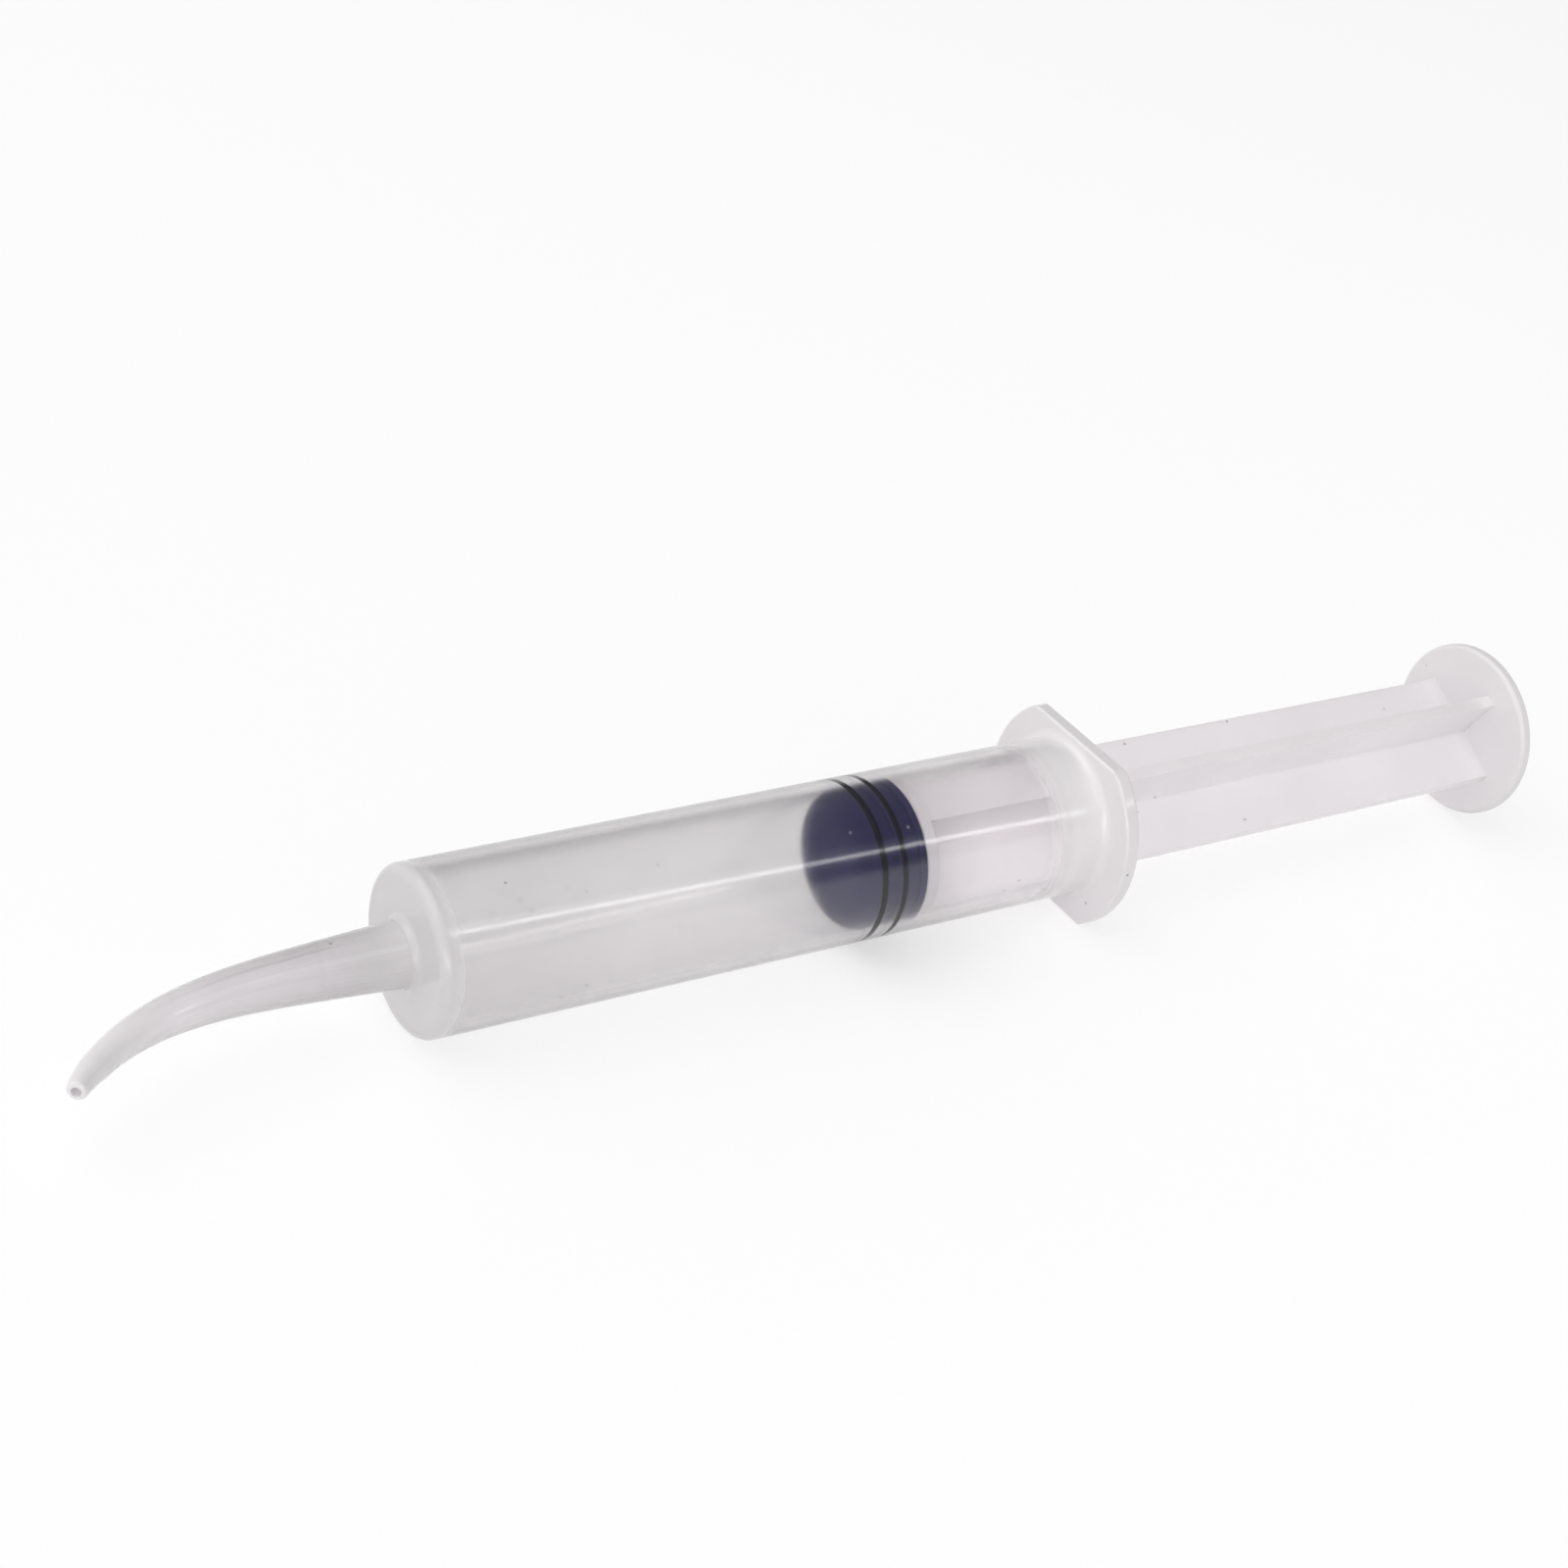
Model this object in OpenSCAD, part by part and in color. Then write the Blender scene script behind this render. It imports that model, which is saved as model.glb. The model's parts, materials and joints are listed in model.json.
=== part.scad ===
// Curved tip syringe: a moulded barrel with a tapered curved tip, a rubber piston seal and a plunger rod.
// It lies on its side, on the front edge of the barrel and one flat of the finger flange.
// The syringe's axis runs along +X towards the thumb disc, and the tip curves towards -Y. Sizes are in mm.

/* [Barrel] */
// Outer diameter of the barrel
barrel_d = 17.5; // [15:0.1:22]
// Diameter of the bore that the piston seal slides in
bore_d = 15.3; // [15.1:0.1:16.6]
// Length of the barrel, from the outside of its front wall to the back of the finger flange
barrel_length = 80.9; // [72:0.1:110]
// Thickness of the front wall
front_wall = 1.2; // [0.8:0.1:3]
// Rounding of the outer edge of the front wall
front_edge_r = 1.1; // [0.4:0.1:2]
// Rounding of the corner between the front wall and the bore
bore_corner_r = 0.5; // [0.2:0.1:1]
// Chamfer of the bore at its open end
mouth_chamfer = 0.6; // [0.1:0.1:0.8]
// Height of the ring in the bore that keeps the piston seal from coming out
stop_ring_h = 0.2; // [0.1:0.05:0.3]
// Radius of that ring's rounded section
stop_ring_r = 0.9; // [0.5:0.1:1.5]
// Distance from the middle of that ring to the back of the flange
stop_ring_setback = 5.6; // [3:0.1:9]

/* [Finger flange] */
// Diameter of the flange's round ends
flange_d = 24.7; // [21:0.1:34]
// Distance across the flange's two flats
flange_flats = 19.8; // [19.2:0.1:20.6]
// Thickness of the flange
flange_t = 1.7; // [1.2:0.1:3]
// Corner radius between the round ends and the flats
flange_corner_r = 2.2; // [0.6:0.1:3]
// Rounding of the flange's edges
flange_edge_r = 0.3; // [0.1:0.05:0.5]
// Radius of the fillet between the barrel and the flange
flange_fillet_r = 0.95; // [0.2:0.05:0.95]

/* [Curved tip] */
// Length of the tip along its curve
tip_length = 38.5; // [28:0.1:50]
// Angle that the whole curve turns through, without the nose's own bend, in degrees
tip_bend = 43.3; // [0:0.1:55]
// Length of the nose at the tip's end, which bends and narrows more than the rest
nose_length = 3.3; // [2:0.1:6]
// Angle that the nose turns through on top of the curve, in degrees
nose_bend = 8; // [0:1:20]
// Outer diameter of the tip where it leaves the barrel
tip_base_d = 6.8; // [6:0.1:9]
// Outer diameter of the tip where the nose begins
nose_d = 2.7; // [2.2:0.1:4]
// Outer diameter of the tip at its end
tip_end_d = 1.9; // [1.8:0.1:4]
// Diameter of the channel through the tip, at the barrel
channel_base_d = 4.8; // [3:0.1:5.2]
// Diameter of the channel through the tip, at its end
channel_end_d = 1; // [0.6:0.1:1]
// Radius of the fillet between the front wall and the tip
tip_fillet_r = 0.8; // [0.3:0.1:1.6]
// Rounding of the edge at the end of the tip
tip_edge_r = 0.4; // [0.1:0.05:0.4]

/* [Piston seal] */
// Length of the seal behind the raised middle of its face
seal_length = 6.1; // [5.8:0.1:10]
// Height of that raised middle
seal_face_h = 1; // [0.4:0.1:2]
// Diameter of its flat, round which the face curves back to the first sealing rib
seal_face_d = 7; // [3:0.1:9]
// Number of sealing ribs round the seal
seal_ribs = 3; // [2:1:4]
// Radius of a sealing rib's rounded section
seal_rib_r = 0.5; // [0.35:0.05:0.7]
// Depth of the grooves between the sealing ribs
seal_groove = 0.45; // [0.2:0.05:0.6]
// Radial clearance between the sealing ribs and the bore
seal_gap = 0.03; // [0.01:0.01:0.1]
// Distance from the front wall to the seal, as the plunger is drawn
plunger_drawn = 48; // [0.1:0.1:60]

/* [Plunger rod] */
// Length of the rod, from the seal to the outside of the thumb disc
rod_length = 86.3; // [80:0.1:120]
// Diameter round the rod's four ribs at the seal
rod_front_d = 14.4; // [10:0.1:14.8]
// Diameter round the rod's four ribs at the thumb disc
rod_back_d = 13.9; // [10:0.1:14.8]
// Thickness of the ribs
rib_t = 1.4; // [1:0.1:2.4]
// Radius of the fillets where the ribs meet
rib_fillet_r = 0.3; // [0.1:0.1:1]
// Turn of the ribs about the rod's axis, in degrees
rod_turn = 29; // [0:1:89]
// Diameter of the collar that pushes the seal
collar_d = 14.7; // [12:0.1:15]
// Thickness of that collar
collar_t = 1.5; // [0.8:0.1:2]
// Rounding of the collar's edges
collar_edge_r = 0.2; // [0.1:0.1:0.4]
// Diameter of the thumb disc
disc_d = 20.8; // [18:0.1:28]
// Thickness of the thumb disc
disc_t = 1.5; // [1:0.1:3]
// Rounding of the thumb disc's rim
disc_edge_r = 0.5; // [0.1:0.1:0.5]
// Diameter of the neck that goes into the seal
neck_d = 5.2; // [4:0.1:6]
// Length of that neck
neck_length = 1.6; // [1:0.1:2]
// Diameter of the knob that the seal is snapped over
knob_d = 8.4; // [7.5:0.1:9.5]
// Length of that knob
knob_length = 3; // [2:0.1:3.4]
// Gap all round the neck and knob, in which the rod swivels
swivel_gap = 0.06; // [0.03:0.01:0.1]

/* [Hidden] */
$fn = 96;
overlap = 0.5;

barrel_r = barrel_d / 2;
bore_r = bore_d / 2;
flange_half = flange_flats / 2;
flange_x = barrel_length - flange_t;
stop_ring_x = barrel_length - stop_ring_setback;
seal_r = bore_r - seal_gap;
seal_body_r = seal_r - seal_groove;
seal_x = front_wall + plunger_drawn + seal_face_h;
collar_x = seal_x + seal_length + swivel_gap;
disc_x = collar_x + rod_length - disc_t;
disc_r = disc_d / 2;

// The tip's rings lie closer together at its rounded end. Each station is a length along the curve.
tip_sides = 40;
channel_sides = 28;
body_steps = 35;
nose_steps = 4;
end_angles = [22.5, 45, 67.5, 90];
nose_from = tip_length - nose_length;
edge_from = tip_length - tip_edge_r;
body_stations = [for (i = [0:body_steps]) i * nose_from / body_steps];
nose_stations = [for (i = [1:nose_steps]) nose_from + i * (edge_from - nose_from) / nose_steps];
end_stations = [for (a = end_angles) edge_from + tip_edge_r * sin(a)];
side_stations = concat(body_stations, nose_stations);
tip_stations = concat(side_stations, end_stations);
channel_stations = concat(side_stations, [tip_length]);

// How far length l lies along the nose, from 0 where the nose begins to 1 at its end
function nose_share(l) = max(0, (l - nose_from) / nose_length);

// Angle that the tip has turned through at length l: hardly any near the barrel, most of it near the end
function tip_curve(l) = tip_bend * pow(l / tip_length, 4) * (5 - 4 * l / tip_length);
function tip_heading(l) = tip_curve(l) + nose_bend * nose_share(l);
end_heading = tip_heading(tip_length);

// Direction of the tip at a heading, the step between two stations, and the points that the curve reaches
function tip_direction(heading) = [-cos(heading), -sin(heading)];
function tip_step(from, to) = (to - from) * tip_direction(tip_heading((from + to) / 2));
function tip_path(stations) = [
    for (
        i = 0, p = [0, 0];
        i < len(stations);
        p = i + 1 < len(stations) ? p + tip_step(stations[i], stations[i + 1]) : p,
        i = i + 1
    ) p
];

// A circle of points about [p.x, p.y, 0], square to the tip's direction
function tip_ring(p, heading, r, sides) = [
    for (k = [0:sides - 1])
        let (a = 360 * k / sides)
        [p[0] + r * cos(a) * sin(heading), p[1] - r * cos(a) * cos(heading), r * sin(a)]
];

function body_r(l) = (tip_base_d + (nose_d - tip_base_d) * l / nose_from) / 2;
function nose_r(l) = (nose_d + (tip_end_d - nose_d) * nose_share(l)) / 2;
function tip_r(l) = l < nose_from ? body_r(l) : nose_r(l);
function channel_r(l) = (channel_base_d + (channel_end_d - channel_base_d) * l / tip_length) / 2;
function end_r(a) = tip_r(edge_from) - tip_edge_r * (1 - cos(a));

// The syringe's resting pose: a line under the barrel's front edge and the flange's flat lies on the floor
front_edge_c = [front_edge_r, front_edge_r - barrel_r];
flange_edge_c = [flange_x + flange_edge_r, flange_edge_r - flange_half];
support = flange_edge_c - front_edge_c;
rest_tilt = -atan2(support[1], support[0]) - asin((front_edge_r - flange_edge_r) / norm(support));
rest_height = front_edge_r - front_edge_c[0] * sin(rest_tilt) - front_edge_c[1] * cos(rest_tilt);

// The origin lies under the middle of the whole length, from the end of the tip to the thumb disc
channel_path = tip_path(channel_stations);
tip_end = channel_path[len(channel_path) - 1];
tip_reach = tip_end[0] + tip_edge_r * (cos(end_heading) - 1) - (tip_end_d / 2 - tip_edge_r) * sin(end_heading);
front_reach = tip_reach * cos(rest_tilt);
back_edge_c = [disc_x + disc_t - disc_edge_r, disc_edge_r - disc_r];
back_reach = back_edge_c[0] * cos(rest_tilt) - back_edge_c[1] * sin(rest_tilt) + disc_edge_r;
middle = (front_reach + back_reach) / 2;

// Lays a piece down: the children are drawn with the middle of the front wall at the origin
module lying() {
    translate([-middle, 0, rest_height]) rotate([0, -rest_tilt, 0]) children();
}

// Revolves a profile of [radius, distance along the axis] about the syringe's axis
module revolved() {
    rotate([0, 90, 0]) rotate_extrude() children();
}

// A rectangle from the axis out to radius r, between two places along the axis, with rounded outer corners
module rounded_profile(r, from, to, front_r, back_r) {
    translate([0, from]) square([r - front_r, front_r + overlap]);
    translate([0, from + front_r]) square([r, to - from - front_r - back_r]);
    translate([0, to - back_r - overlap]) square([r - back_r, back_r + overlap]);
    translate([r - front_r, from + front_r]) circle(front_r);
    translate([r - back_r, to - back_r]) circle(back_r);
}

// A square with one quarter of a circle taken out of it, for a fillet in the corner at [0, 0]
module fillet_profile(r) {
    difference() {
        translate([-overlap, -overlap]) square(r + overlap);
        translate([r, r]) circle(r);
    }
}

// A tube of points with flat ends, closed from the first ring to the last
module swept(rings) {
    sides = len(rings[0]);
    count = len(rings);
    walls = [
        for (i = [0:count - 2], k = [0:sides - 1], half = [0, 1])
            let (a = i * sides + k, b = i * sides + (k + 1) % sides)
            half == 0 ? [a, b + sides, b] : [a, a + sides, b + sides]
    ];
    first = [for (k = [0:sides - 1]) k];
    last = [for (k = [0:sides - 1]) count * sides - 1 - k];
    polyhedron([for (ring = rings) each ring], concat(walls, [first, last]));
}

module tip_outside() {
    path = tip_path(tip_stations);
    root = tip_ring([front_wall / 2, 0], 0, tip_base_d / 2, tip_sides);
    side = [
        for (i = [0:len(side_stations) - 1])
            tip_ring(path[i], tip_heading(side_stations[i]), tip_r(side_stations[i]), tip_sides)
    ];
    end = [
        for (k = [0:len(end_angles) - 1])
            tip_ring(
                path[len(side_stations) + k],
                tip_heading(end_stations[k]),
                end_r(end_angles[k]),
                tip_sides
            )
    ];
    swept(concat([root], side, end));
}

module tip_channel() {
    root = tip_ring([front_wall + overlap, 0], 0, channel_base_d / 2, channel_sides);
    side = [
        for (i = [0:len(channel_stations) - 1])
            let (l = channel_stations[i])
            tip_ring(channel_path[i], tip_heading(l), channel_r(l), channel_sides)
    ];
    past_end = tip_end + overlap * tip_direction(end_heading);
    beyond = tip_ring(past_end, end_heading, channel_end_d / 2, channel_sides);
    swept(concat([root], side, [beyond]));
}

// Outline of the flange seen along the axis: a circle cut by two flats, with rounded corners
module flange_outline() {
    flange_r = flange_d / 2;
    corner_z = flange_half - flange_corner_r;
    corner_y = sqrt(pow(flange_r - flange_corner_r, 2) - pow(corner_z, 2));
    corner_angle = atan2(corner_z, corner_y);
    square([2 * flange_half, 2 * corner_y], center = true);
    intersection() {
        circle(flange_r);
        for (side = [0, 180])
            rotate(side)
                polygon([
                    [0, 0],
                    2 * flange_r * [-sin(corner_angle), cos(corner_angle)],
                    2 * flange_r * [sin(corner_angle), cos(corner_angle)]
                ]);
    }
    for (y = [-corner_y, corner_y], z = [-corner_z, corner_z]) translate([z, y]) circle(flange_corner_r);
}

// The flange seen along its flats: a rectangle with rounded corners
module flange_section() {
    edge_z = flange_half - flange_edge_r;
    translate([flange_x + flange_edge_r, -flange_half]) square([flange_t - 2 * flange_edge_r, flange_flats]);
    translate([flange_x, -edge_z]) square([flange_t, 2 * edge_z]);
    for (x = [flange_x + flange_edge_r, barrel_length - flange_edge_r], z = [-edge_z, edge_z])
        translate([x, z]) circle(flange_edge_r);
}

module finger_flange() {
    intersection() {
        translate([flange_x, 0, 0]) rotate([0, 90, 0]) linear_extrude(flange_t) flange_outline();
        revolved() rounded_profile(flange_d / 2, flange_x, barrel_length, flange_edge_r, flange_edge_r);
        rotate([90, 0, 0]) linear_extrude(flange_d + overlap, center = true) flange_section();
    }
}

// What is cut out of the barrel: the bore, narrowed by the stop ring and opened by the mouth's chamfer
module bore() {
    revolved() {
        difference() {
            rounded_profile(bore_r, front_wall, barrel_length + overlap, bore_corner_r, 0);
            translate([bore_r + stop_ring_r - stop_ring_h, stop_ring_x]) circle(stop_ring_r);
        }
        polygon([
            [0, barrel_length - mouth_chamfer],
            [bore_r, barrel_length - mouth_chamfer],
            [bore_r + mouth_chamfer + overlap, barrel_length + overlap],
            [0, barrel_length + overlap]
        ]);
    }
}

module barrel() {
    color("gainsboro")
    lying()
    difference() {
        union() {
            revolved() rounded_profile(barrel_r, 0, barrel_length - flange_edge_r, front_edge_r, 0);
            revolved() translate([tip_base_d / 2, 0]) mirror([0, 1]) fillet_profile(tip_fillet_r);
            revolved() translate([barrel_r, flange_x]) mirror([0, 1]) fillet_profile(flange_fillet_r);
            tip_outside();
            finger_flange();
        }
        bore();
        tip_channel();
    }
}

// Neck and knob of the rod, or with a gap the hollow in the seal that they swivel in
module knob_profile(gap) {
    knob_back = seal_length - neck_length + gap;
    knob_front = knob_back - knob_length - 2 * gap;
    translate([0, knob_front]) square([neck_d / 2 + gap, seal_length + swivel_gap + overlap - knob_front]);
    polygon([
        [0, knob_front],
        [neck_d / 2 + gap, knob_front],
        [knob_d / 2 + gap, knob_front + knob_length / 2],
        [knob_d / 2 + gap, knob_back],
        [0, knob_back]
    ]);
}

// Half of the seal's face seen from the side: a flat middle, and a curve that runs on into the first rib's circle
module seal_face_profile(rib_c) {
    flat_r = seal_face_d / 2;
    curve_r = seal_rib_r + (pow(rib_c[0] - flat_r, 2) + pow(seal_face_h, 2)) / (2 * seal_face_h);
    curve_c = [flat_r, curve_r - seal_face_h];
    past_face = 2 * rib_c - curve_c;
    translate([0, -seal_face_h]) square([flat_r, seal_face_h + seal_rib_r]);
    intersection() {
        translate(curve_c) circle(curve_r);
        polygon([[flat_r, rib_c[1]], [flat_r, past_face[1]], past_face, rib_c]);
    }
}

module piston_seal() {
    rib_c = [seal_r - seal_rib_r, seal_rib_r];
    rib_step = (seal_length - 2 * seal_rib_r) / (seal_ribs - 1);
    color("midnightblue")
    lying()
    translate([seal_x, 0, 0])
    revolved()
    difference() {
        union() {
            seal_face_profile(rib_c);
            translate([0, seal_rib_r]) square([seal_body_r, seal_length - 2 * seal_rib_r]);
            translate([0, seal_rib_r]) square([rib_c[0], seal_length - seal_rib_r]);
            for (i = [0:seal_ribs - 1]) translate(rib_c + [0, i * rib_step]) circle(seal_rib_r);
        }
        knob_profile(swivel_gap);
    }
}

// The four ribs seen along the rod's axis, with fillets where they meet
module cross_section() {
    inner = rib_t / 2;
    for (turn = [0, 90]) rotate(turn) square([rod_front_d + rod_back_d, rib_t], center = true);
    for (turn = [0:90:270]) rotate(turn) translate([inner, inner]) fillet_profile(rib_fillet_r);
}

module plunger_rod() {
    ribs_from = collar_x + collar_t / 2;
    ribs_to = disc_x + disc_t / 2;
    color("thistle")
    lying() {
        intersection() {
            translate([ribs_from, 0, 0])
                rotate([0, 90, 0])
                    rotate(rod_turn)
                        linear_extrude(ribs_to - ribs_from) cross_section();
            revolved()
                polygon([
                    [0, ribs_from],
                    [rod_front_d / 2, ribs_from],
                    [rod_back_d / 2, ribs_to],
                    [0, ribs_to]
                ]);
        }
        revolved() {
            rounded_profile(collar_d / 2, collar_x, collar_x + collar_t, collar_edge_r, collar_edge_r);
            rounded_profile(disc_r, disc_x, disc_x + disc_t, disc_edge_r, disc_edge_r);
            translate([0, seal_x]) knob_profile(0);
        }
    }
}

barrel();
piston_seal();
plunger_rod();
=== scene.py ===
import json
import math

import bmesh
import bpy
from mathutils import Matrix, Vector


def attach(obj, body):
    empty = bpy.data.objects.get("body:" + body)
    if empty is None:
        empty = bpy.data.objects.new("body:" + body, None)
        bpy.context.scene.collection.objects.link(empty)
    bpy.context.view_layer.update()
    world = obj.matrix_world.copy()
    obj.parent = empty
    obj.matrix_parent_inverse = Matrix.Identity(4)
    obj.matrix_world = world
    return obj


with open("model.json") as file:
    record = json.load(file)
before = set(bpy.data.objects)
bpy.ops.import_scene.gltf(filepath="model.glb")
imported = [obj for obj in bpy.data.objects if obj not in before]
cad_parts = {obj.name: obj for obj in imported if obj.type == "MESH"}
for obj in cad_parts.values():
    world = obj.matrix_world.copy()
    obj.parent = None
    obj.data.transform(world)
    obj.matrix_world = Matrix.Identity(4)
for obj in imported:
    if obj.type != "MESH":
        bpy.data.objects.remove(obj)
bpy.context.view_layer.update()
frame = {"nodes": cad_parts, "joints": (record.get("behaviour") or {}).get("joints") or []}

# The syringe's axis: a point on it at the front of the seal's body, and its direction to the thumb disc
joints = {joint["name"]: joint for joint in frame["joints"]}
AXIS = Vector(joints["plunger_slide"]["axis"]).normalized()
SEAL_POINT = Vector(joints["rod_swivel"]["pos_m"])

# Distances along the axis, in metres, from the front wall's face to that point, and from there to the
# finger flange and the thumb disc. The other three names say where these lie along X.
FRONT_TO_SEAL = 0.0502
SEAL_TO_FLANGE = 0.029
SEAL_TO_DISC = 0.091
FRONT = SEAL_POINT.x - FRONT_TO_SEAL * AXIS.x
FLANGE = SEAL_POINT.x + SEAL_TO_FLANGE * AXIS.x
DISC = SEAL_POINT.x + SEAL_TO_DISC * AXIS.x

# The bore. Its colour gives way to the barrel's own between these distances from the axis, and inside the
# front wall between these places along X.
BORE_R = 0.00765
BORE_EDGE = (BORE_R + 0.0002, BORE_R + 0.0006)
BORE_BOTTOM = (FRONT + 0.001, FRONT + 0.0005)

# The seal, and the black bands where its first two ribs press on the bore: how wide they are, how far they
# sink into the barrel's wall and how far they reach in from the bore
SEAL_LENGTH = 0.0061
SEAL_RIB_R = 0.0005
SEAL_RIBS = 3
CONTACT_WIDTHS = (0.0007, 0.0006)
CONTACT_DEPTH = 0.00004
CONTACT_INSIDE = 0.0002

# The tip's centre line, in metres: it reaches this far along X, and sweeps this far towards -Y with a power
# of the share of that reach. The cosine of its heading falls from 1 by the lean, with a power of its own.
TIP_REACH = 0.03586
TIP_SWEEP = 0.00929
TIP_POWER = 4.33
TIP_LEAN = 0.366
TIP_LEAN_POWER = 5.26
# Radius of the middle of the tip's wall at its root and at its end, the shares of it between which the
# channel gives way to the outside, and the shares of the reach between which the tip's end begins
TIP_MIDDLE_R = (0.0029, 0.0007)
CHANNEL_EDGE = (0.95, 1.05)
TIP_END = (0.955, 0.975)

# The camera stands where the photograph was taken from, and is a little rolled
CAMERA_PLACE = Vector((-0.164265, -0.19640, 0.16876))
CAMERA_AIM = Vector((-0.012035, 0.0, 0.02070))
CAMERA_ROLL = math.radians(11.51)
CAMERA_LENS = 65.5
SENSOR_WIDTH = 36.0

# Painted light and shade of each stretch of the plastic, whose own grey is even: each stretch is made
# lighter or darker to make up for how the lamps light it through the walls and the milky zones. A place
# along X, and the lightness painted there
BARREL_PAINTED_TONES = [
    (FRONT - 0.035, 0.75),
    (FRONT - 0.030, 0.785),
    (FRONT - 0.022, 0.75),
    (FRONT - 0.012, 0.63),
    (FRONT - 0.004, 0.565),
    (FRONT - 0.0002, 0.59),
    (FRONT + 0.0008, 0.6),
    (FRONT + 0.0022, 0.715),
    (FRONT + 0.012, 0.73),
    (FRONT + 0.030, 0.785),
    (FLANGE - 0.022, 0.785),
    (FLANGE - 0.016, 0.88),
    (FLANGE - 0.008, 0.86),
    (FLANGE - 0.004, 0.74),
]
# The rod's painted light and shade: lighter where it lies inside the barrel, and darker towards the disc
ROD_PAINTED_TONES = [
    (FLANGE - 0.004, 0.87),
    (FLANGE + 0.004, 0.84),
    (DISC - 0.018, 0.84),
    (DISC - 0.002, 0.81),
    (DISC - 0.0002, 0.72),
]
# Zones where the plastic is milky: where along X the milk begins, is full, is still full and has ended, and
# how full it is
BEFORE_ALL = (-1, -0.9)
AFTER_ALL = (0.9, 1)
BARREL_MILKY_ZONES = [
    (*BEFORE_ALL, FRONT - 0.034, FRONT - 0.018, 1),
    (*BEFORE_ALL, FRONT - 0.001, FRONT, 0.35),
    (FRONT - 0.016, FRONT + 0.0003, FRONT + 0.0012, FRONT + 0.0026, 1),
    (FLANGE - 0.0075, FLANGE - 0.0035, *AFTER_ALL, 1),
]
ROD_MILKY_ZONES = [(DISC - 0.003, DISC - 0.0005, *AFTER_ALL, 1)]
# Share of the light that plastic and milky plastic let through, and the tint that each surface gives to
# their shadow
BARREL_CLEAR = 0.995
ROD_CLEAR = 0.3
MILKY_CLEAR = 0.08
SHADOW_TINT = (0.97, 0.965, 0.97, 1)
# Share of the light that the barrel still lets through where it is seen edge-on and its wall is thickest,
# and the Layer Weight values between which that begins
WALL_SHADE = 0.86
EDGE_ON = (0.42, 0.6)
# The tip and the front wall are duller than the barrel behind them, up to these places along X, and the
# bore and the channel are glossier
BARREL_ROUGHNESS = 0.14
TIP_ROUGHNESS = 0.17
DULL_END = (FRONT + 0.001, FRONT + 0.003)
ROD_ROUGHNESS = 0.42
INSIDE_ROUGHNESS = 0.06
BORE_COLOUR = (0.98, 0.98, 0.98, 1)
CHANNEL_COLOUR = (0.95, 0.94, 0.95, 1)
PLASTIC_IOR = 1.49

# Rubber clouds between two colours and carries a little dust
SEAL_NAVY = ((0.008, 0.008, 0.052, 1), (0.012, 0.012, 0.070, 1))
SEAL_ROUGHNESS = 0.36
CONTACT_BLACK = ((0.006, 0.006, 0.014, 1), (0.010, 0.010, 0.020, 1))
CONTACT_ROUGHNESS = 0.7
DUST_COLOUR = (0.45, 0.45, 0.5, 1)

# The floor's colour where it lights the syringe, and its colour and glow where it is seen
FLOOR_SIZE = 6.0
FLOOR_COLOUR = (0.86, 0.86, 0.86, 1)
FLOOR_SEEN_COLOUR = (0.5, 0.5, 0.5, 1)
FLOOR_GLOW = 0.5

# The world dims upwards between these heights of its direction, to this strength
WORLD_HEIGHTS = (0.08, 0.45)
WORLD_STRENGTH = 0.8
# Where the barrel's near side mirrors it, its direction lies past these values along X and Z, and this
# share of it is left
DIM_ALONG = (0.2, 0.4)
DIM_HEIGHTS = (0.12, 0.3)
DIM_SHARE = 0.2

# A long narrow lamp draws the streak along the barrel. These are two places on its line, seen from the two
# ends of the barrel, and how far its middle is moved on towards the tip.
STREAK_NEAR = Vector((0.1916, -0.3522, 0.4287))
STREAK_FAR = Vector((0.3832, -0.39, 0.2887))
STREAK_SHIFT = 0.04
# A small lamp draws the bright line along the tip, and two broad lamps light the whole syringe
TIP_MIDDLE = Vector((-0.07, 0, 0.008))
TIP_LAMP_PLACE = Vector((0.12, -0.33, 0.48))
OVERHEAD_PLACE = Vector((-0.9, 0.6, 1.6))
FILL_PLACE = Vector((-0.8, -1.0, 0.25))


def make_camera():
    data = bpy.data.cameras.new("camera")
    data.lens = CAMERA_LENS
    data.sensor_width = SENSOR_WIDTH
    data.clip_start = 0.01
    data.clip_end = 50
    camera = bpy.data.objects.new("camera", data)
    bpy.context.scene.collection.objects.link(camera)
    look = (CAMERA_AIM - CAMERA_PLACE).to_track_quat("-Z", "Y").to_matrix().to_4x4()
    camera.matrix_world = Matrix.Translation(CAMERA_PLACE) @ look @ Matrix.Rotation(CAMERA_ROLL, 4, "Z")
    bpy.context.scene.camera = camera


def lamp_rectangle(name, place, aim, along, size, energy):
    """A rectangular lamp at place that faces aim, with its longer side along the given direction."""
    data = bpy.data.lights.new(name, "AREA")
    data.shape = "RECTANGLE"
    data.size, data.size_y = size
    data.energy = energy
    lamp = bpy.data.objects.new(name, data)
    bpy.context.scene.collection.objects.link(lamp)
    back = (place - aim).normalized()
    side = (along - along.dot(back) * back).normalized()
    up = back.cross(side)
    lamp.matrix_world = Matrix.Translation(place) @ Matrix((side, up, back)).transposed().to_4x4()


class Nodes:
    """A short way to write a material's nodes and their links."""

    def __init__(self, tree):
        self.tree = tree
        tree.nodes.clear()

    def add(self, kind, inputs=None, **settings):
        node = self.tree.nodes.new(kind)
        for name, value in settings.items():
            setattr(node, name, value)
        for name, value in (inputs or {}).items():
            socket = node.inputs[name]
            if isinstance(value, bpy.types.NodeSocket):
                self.tree.links.new(value, socket)
            else:
                socket.default_value = value
        return node


def new_material(name):
    """A new material, and its nodes."""
    material = bpy.data.materials.new(name)
    material.use_nodes = True
    return material, Nodes(material.node_tree)


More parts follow.
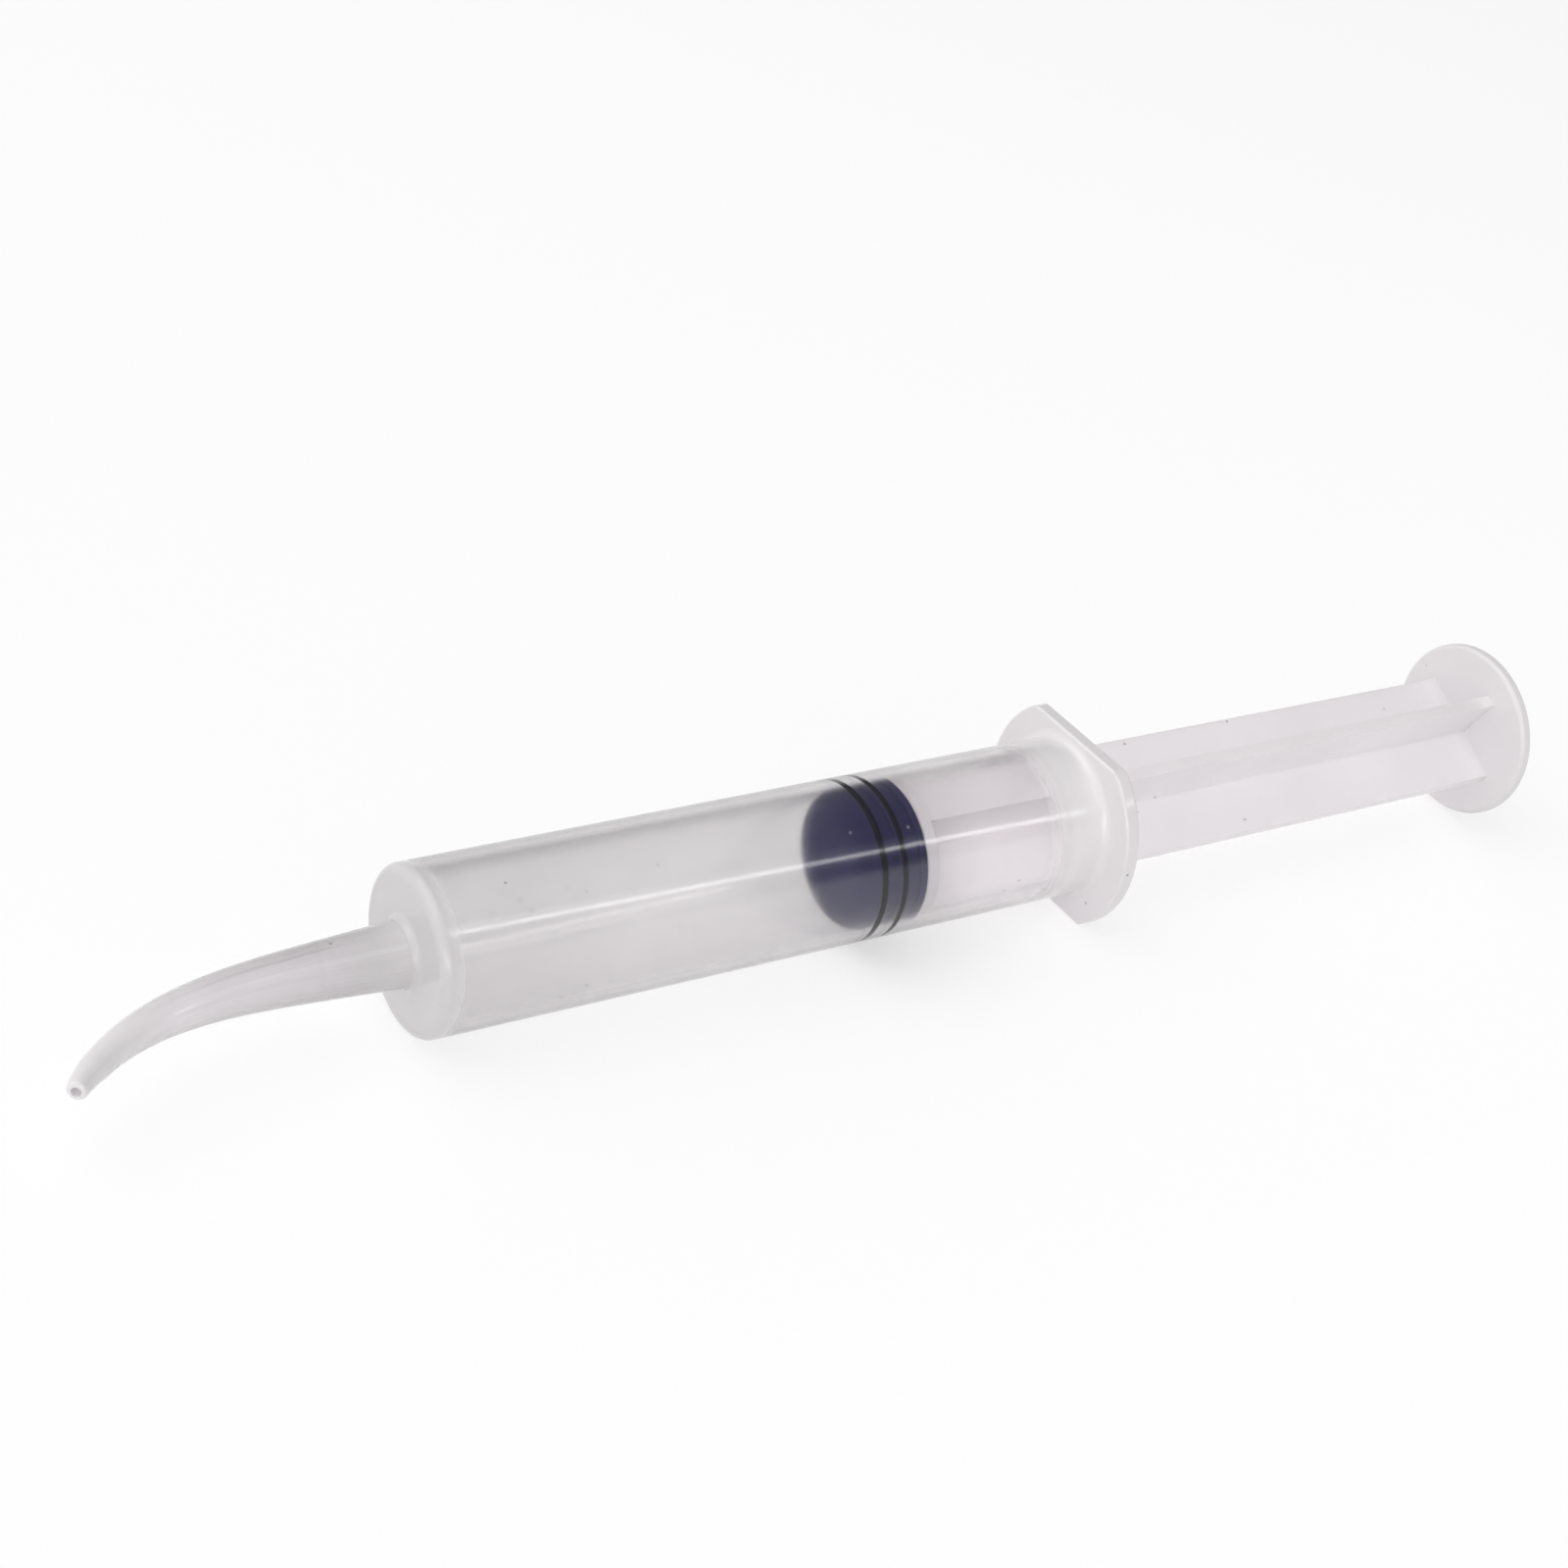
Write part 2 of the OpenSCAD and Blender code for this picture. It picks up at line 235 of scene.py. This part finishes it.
def mixed(nodes, factor, first, second):
    """A colour between two. The sockets have numbers, because a Mix node has several of each name."""
    return nodes.add("ShaderNodeMix", {0: factor, 6: first, 7: second}, data_type="RGBA").outputs[2]


def mapped(nodes, value, low, high, to_low, to_high, interpolation="LINEAR"):
    """value, taken from the range low to high into the range to_low to to_high."""
    inputs = {"Value": value, "From Min": low, "From Max": high, "To Min": to_low, "To Max": to_high}
    return nodes.add("ShaderNodeMapRange", inputs, interpolation_type=interpolation).outputs["Result"]


def maths(nodes, operation, first, second):
    """The result of a Math node."""
    return nodes.add("ShaderNodeMath", {0: first, 1: second}, operation=operation).outputs[0]


def vector_maths(nodes, operation, first, second=(0, 0, 0), output="Vector"):
    """The result of a Vector Math node."""
    return nodes.add("ShaderNodeVectorMath", {0: first, 1: second}, operation=operation).outputs[output]


def off_axis(nodes, place):
    """Distance of a place from the syringe's axis."""
    from_axis = vector_maths(nodes, "SUBTRACT", place, SEAL_POINT)
    across = vector_maths(nodes, "CROSS_PRODUCT", from_axis, AXIS)
    return vector_maths(nodes, "LENGTH", across, output="Value")


def trapezium(nodes, value, places):
    """1 between the two middle places, and 0 outside the outer two."""
    rise = mapped(nodes, value, places[0], places[1], 0, 1, "SMOOTHSTEP")
    fall = mapped(nodes, value, places[2], places[3], 1, 0, "SMOOTHSTEP")
    return maths(nodes, "MINIMUM", rise, fall)


def off_bore(nodes, place, along):
    """0 on the bore, and 1 on the barrel's other surfaces."""
    beyond_bore = mapped(nodes, off_axis(nodes, place), *BORE_EDGE, 0, 1)
    before_bore = mapped(nodes, along, *BORE_BOTTOM, 0, 1)
    return maths(nodes, "MAXIMUM", beyond_bore, before_bore)


def off_channel(nodes, place):
    """0 on the channel through the tip except at its very end, and 1 on the barrel's other surfaces."""
    split = nodes.add("ShaderNodeSeparateXYZ", {"Vector": place}).outputs
    share = mapped(nodes, split["X"], FRONT, FRONT - TIP_REACH, 0, 1)
    sweep = maths(nodes, "MULTIPLY", maths(nodes, "POWER", share, TIP_POWER), -TIP_SWEEP)
    lean = maths(nodes, "MULTIPLY", maths(nodes, "POWER", share, TIP_LEAN_POWER), TIP_LEAN)
    off_line = maths(nodes, "SUBTRACT", split["Y"], sweep)
    sideways = maths(nodes, "MULTIPLY", off_line, maths(nodes, "SUBTRACT", 1, lean))
    slope = AXIS.z / AXIS.x
    rise = maths(nodes, "MULTIPLY", split["X"], slope)
    axis_z = maths(nodes, "ADD", rise, SEAL_POINT.z - slope * SEAL_POINT.x)
    upwards = maths(nodes, "SUBTRACT", split["Z"], axis_z)
    offset = nodes.add("ShaderNodeCombineXYZ", {"X": sideways, "Y": upwards}).outputs["Vector"]
    distance = vector_maths(nodes, "LENGTH", offset, output="Value")
    middle = mapped(nodes, share, 0, 1, *TIP_MIDDLE_R)
    outside = mapped(nodes, maths(nodes, "DIVIDE", distance, middle), *CHANNEL_EDGE, 0, 1)
    return maths(nodes, "MAXIMUM", outside, mapped(nodes, share, *TIP_END, 0, 1))


def grey(level):
    """The faintly violet grey of milky plastic."""
    return (level, 0.97 * level, 0.987 * level, 1)


def painted_light_tint(nodes, along, painted_tones):
    """The grey at each place along X, blended from tone to tone: painted light and shade over an even grey.
    """
    tint = grey(painted_tones[0][1])
    for (start, _), (end, level) in zip(painted_tones, painted_tones[1:]):
        tint = mixed(nodes, mapped(nodes, along, start, end, 0, 1), tint, grey(level))
    return tint


def milkiness(nodes, along, zones):
    """How milky the plastic is along X, from 0 to 1."""
    milk = 0.0
    for *places, level in zones:
        zone = maths(nodes, "MULTIPLY", trapezium(nodes, along, places), level)
        milk = maths(nodes, "MAXIMUM", milk, zone)
    return milk


def edge_loss(nodes, milk):
    """What the barrel's clear wall keeps back of the light where it is seen edge-on."""
    facing = nodes.add("ShaderNodeLayerWeight", {"Blend": 0.5}).outputs["Facing"]
    loss = mapped(nodes, facing, *EDGE_ON, 0, 1 - WALL_SHADE)
    return maths(nodes, "MULTIPLY", loss, maths(nodes, "SUBTRACT", 1, milk))


def specks(nodes, place, scale, radii, patch_scale, patches, strength):
    """Round specks in some patches. They fade out between two radii, in shares of their spacing."""
    cells = nodes.add("ShaderNodeTexVoronoi", {"Vector": place, "Scale": scale})
    patch = nodes.add("ShaderNodeTexNoise", {"Vector": place, "Scale": patch_scale, "Detail": 2})
    near = mapped(nodes, cells.outputs["Distance"], *radii, 1, 0)
    few = mapped(nodes, patch.outputs["Fac"], *patches, 0, strength)
    return maths(nodes, "MULTIPLY", near, few)


def plastic(name, painted_tones, milky_zones, clear, roughness, hollow=False):
    """Moulded plastic with a painted tone of light and shade at each given place along X. It lets through
    the share clear of the light, and MILKY_CLEAR in its milky zones. The hollow one is the barrel, with its
    bore and its channel."""
    material, nodes = new_material(name)
    place = nodes.add("ShaderNodeTexCoord").outputs["Object"]
    along = nodes.add("ShaderNodeSeparateXYZ", {"Vector": place}).outputs["X"]
    milk = milkiness(nodes, along, milky_zones)
    # The tint carries the painted light and shade of the tone table along X
    tint = painted_light_tint(nodes, along, painted_tones)
    clouds = nodes.add("ShaderNodeTexNoise", {"Vector": place, "Scale": 90, "Detail": 3, "Roughness": 0.55})
    shade = mapped(nodes, clouds.outputs["Fac"], 0.35, 0.65, 0.97, 1)
    if hollow:
        bore_mask = off_bore(nodes, place, along)
        channel_mask = off_channel(nodes, place)
        tint = mixed(nodes, bore_mask, BORE_COLOUR, tint)
        tint = mixed(nodes, channel_mask, CHANNEL_COLOUR, tint)
        outside = maths(nodes, "MULTIPLY", bore_mask, channel_mask)
        outside_roughness = mapped(nodes, along, *DULL_END, TIP_ROUGHNESS, roughness)
        roughness = mapped(nodes, outside, 0, 1, INSIDE_ROUGHNESS, outside_roughness)
        shade = maths(nodes, "SUBTRACT", shade, edge_loss(nodes, milk))
    dark_specks = specks(
        nodes, place, scale=350, radii=(0.04, 0.08), patch_scale=60, patches=(0.54, 0.58), strength=0.5
    )
    shade = maths(nodes, "SUBTRACT", shade, dark_specks)
    tint = nodes.add("ShaderNodeVectorMath", {0: tint, "Scale": shade}, operation="SCALE").outputs["Vector"]
    smears = nodes.add("ShaderNodeTexNoise", {"Vector": place, "Scale": 260, "Detail": 4, "Roughness": 0.6})
    smear = mapped(nodes, smears.outputs["Fac"], 0.3, 0.7, 0.85, 1.2)
    shader = nodes.add(
        "ShaderNodeBsdfPrincipled",
        {
            "Base Color": tint,
            "Roughness": maths(nodes, "MULTIPLY", roughness, smear),
            "IOR": PLASTIC_IOR,
            "Transmission Weight": mapped(nodes, milk, 0, 1, clear, MILKY_CLEAR),
        },
    )
    passing = nodes.add("ShaderNodeBsdfTransparent", {"Color": SHADOW_TINT})
    shadow = nodes.add("ShaderNodeLightPath").outputs["Is Shadow Ray"]
    both = nodes.add("ShaderNodeMixShader", {0: shadow, 1: shader.outputs[0], 2: passing.outputs[0]})
    nodes.add("ShaderNodeOutputMaterial", {"Surface": both.outputs[0]})
    return material


def rubber(name, colours, roughness):
    """Dark moulded rubber with a fine grain and a little dust."""
    material, nodes = new_material(name)
    place = nodes.add("ShaderNodeTexCoord").outputs["Object"]
    clouds = nodes.add("ShaderNodeTexNoise", {"Vector": place, "Scale": 300, "Detail": 4}).outputs["Fac"]
    dust = specks(
        nodes, place, scale=900, radii=(0.1, 0.2), patch_scale=220, patches=(0.62, 0.68), strength=0.6
    )
    grain = nodes.add("ShaderNodeTexNoise", {"Vector": place, "Scale": 4000, "Detail": 2}).outputs["Fac"]
    bump = nodes.add("ShaderNodeBump", {"Height": grain, "Strength": 0.15, "Distance": 0.0001})
    shader = nodes.add(
        "ShaderNodeBsdfPrincipled",
        {
            "Base Color": mixed(nodes, dust, mixed(nodes, clouds, *colours), DUST_COLOUR),
            "Roughness": mapped(nodes, clouds, 0.3, 0.7, roughness - 0.08, roughness + 0.08),
            "Specular IOR Level": 0.15,
            "Normal": bump.outputs["Normal"],
        },
    )
    nodes.add("ShaderNodeOutputMaterial", {"Surface": shader.outputs[0]})
    return material


def dress(obj, material):
    obj.data.materials.clear()
    obj.data.materials.append(material)


def make_floor():
    """A pale floor that is lit to white, and darkens only where the syringe shades it."""
    mesh = bpy.data.meshes.new("floor")
    half = FLOOR_SIZE / 2
    corners = [(-half, -half, 0), (half, -half, 0), (half, half, 0), (-half, half, 0)]
    mesh.from_pydata(corners, [], [(0, 1, 2, 3)])
    floor = bpy.data.objects.new("floor", mesh)
    bpy.context.scene.collection.objects.link(floor)
    material, nodes = new_material("floor_white")
    lit = nodes.add("ShaderNodeBsdfDiffuse", {"Color": FLOOR_COLOUR})
    seen_lit = nodes.add("ShaderNodeBsdfDiffuse", {"Color": FLOOR_SEEN_COLOUR})
    glow = nodes.add("ShaderNodeEmission", {"Color": (1, 1, 1, 1), "Strength": FLOOR_GLOW})
    both = nodes.add("ShaderNodeAddShader", {0: seen_lit.outputs[0], 1: glow.outputs[0]})
    rays = nodes.add("ShaderNodeLightPath").outputs
    seen = rays["Is Camera Ray"]
    for ray in ("Is Glossy Ray", "Is Transmission Ray"):
        seen = maths(nodes, "MAXIMUM", seen, rays[ray])
    shader = nodes.add("ShaderNodeMixShader", {0: seen, 1: lit.outputs[0], 2: both.outputs[0]})
    nodes.add("ShaderNodeOutputMaterial", {"Surface": shader.outputs[0]})
    dress(floor, material)


def make_world():
    """White at the horizon, dimmer overhead, and dim where the near side of the barrel mirrors it."""
    world = bpy.data.worlds.new("world")
    world.use_nodes = True
    nodes = Nodes(world.node_tree)
    place = nodes.add("ShaderNodeTexCoord").outputs["Generated"]
    split = nodes.add("ShaderNodeSeparateXYZ", {"Vector": place}).outputs
    plain = mapped(nodes, split["Z"], *WORLD_HEIGHTS, 1, WORLD_STRENGTH)
    behind = mapped(nodes, split["X"], *DIM_ALONG, 0, 1)
    above = mapped(nodes, split["Z"], *DIM_HEIGHTS, 0, 1)
    dim = mapped(nodes, maths(nodes, "MULTIPLY", behind, above), 0, 1, 1, DIM_SHARE)
    strength = maths(nodes, "MULTIPLY", plain, dim)
    light = nodes.add("ShaderNodeBackground", {"Color": (1, 1, 1, 1), "Strength": strength})
    nodes.add("ShaderNodeOutputWorld", {"Surface": light.outputs[0]})
    bpy.context.scene.world = world


def ring_about_axis(name, profile, steps=192):
    """A closed ring: profile is a loop of (distance along the axis from SEAL_POINT, radius)."""
    across = AXIS.orthogonal().normalized()
    upward = AXIS.cross(across)
    mesh = bmesh.new()
    loops = []
    for k in range(steps):
        turn = 2 * math.pi * k / steps
        out = across * math.cos(turn) + upward * math.sin(turn)
        loops.append([mesh.verts.new(SEAL_POINT + AXIS * x + out * r) for x, r in profile])
    for here, there in zip(loops, loops[1:] + loops[:1]):
        for i in range(len(profile)):
            j = (i + 1) % len(profile)
            mesh.faces.new((here[i], here[j], there[j], there[i]))
    bmesh.ops.recalc_face_normals(mesh, faces=mesh.faces)
    data = bpy.data.meshes.new(name)
    mesh.to_mesh(data)
    mesh.free()
    for face in data.polygons:
        face.use_smooth = True
    ring = bpy.data.objects.new(name, data)
    bpy.context.scene.collection.objects.link(ring)
    return ring


def make_contact_bands(material):
    """The crests of the sealing ribs, squeezed flat and wet against the bore."""
    step = (SEAL_LENGTH - 2 * SEAL_RIB_R) / (SEAL_RIBS - 1)
    inner = BORE_R - CONTACT_INSIDE
    outer = BORE_R + CONTACT_DEPTH
    for i, width in enumerate(CONTACT_WIDTHS):
        middle = SEAL_RIB_R + i * step
        front = middle - width / 2
        back = middle + width / 2
        profile = [(front, inner), (back, inner), (back, outer), (front, outer)]
        band = ring_about_axis("seal_contact_%d" % (i + 1), profile)
        dress(band, material)
        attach(band, "seal")


def dress_syringe():
    barrel_plastic = plastic(
        "barrel_plastic", BARREL_PAINTED_TONES, BARREL_MILKY_ZONES, BARREL_CLEAR, BARREL_ROUGHNESS, hollow=True
    )
    rod_plastic = plastic("rod_plastic", ROD_PAINTED_TONES, ROD_MILKY_ZONES, ROD_CLEAR, ROD_ROUGHNESS)
    dress(frame["nodes"]["barrel"], barrel_plastic)
    dress(frame["nodes"]["plunger_rod"], rod_plastic)
    dress(frame["nodes"]["piston_seal"], rubber("seal_rubber", SEAL_NAVY, SEAL_ROUGHNESS))
    make_contact_bands(rubber("seal_contact", CONTACT_BLACK, CONTACT_ROUGHNESS))


def make_lamps():
    origin = Vector((0, 0, 0))
    on_table = Vector((0, 0, 0.01))
    along = (STREAK_FAR - STREAK_NEAR).normalized()
    middle = (STREAK_NEAR + STREAK_FAR) / 2 - STREAK_SHIFT * along
    lamp_rectangle("streak", middle, on_table, along, size=(0.42, 0.035), energy=0.26)
    lamp_rectangle("tip_streak", TIP_LAMP_PLACE, TIP_MIDDLE, along, size=(0.1, 0.008), energy=0.06)
    lamp_rectangle("overhead", OVERHEAD_PLACE, origin, Vector((1, 0, 0)), size=(2.0, 2.0), energy=14.5)
    lamp_rectangle("fill", FILL_PLACE, on_table, Vector((1, -0.8, 0)), size=(1.2, 0.4), energy=4.0)


make_camera()
make_floor()
make_world()
dress_syringe()
make_lamps()

bpy.context.scene.view_settings.view_transform = "Standard"
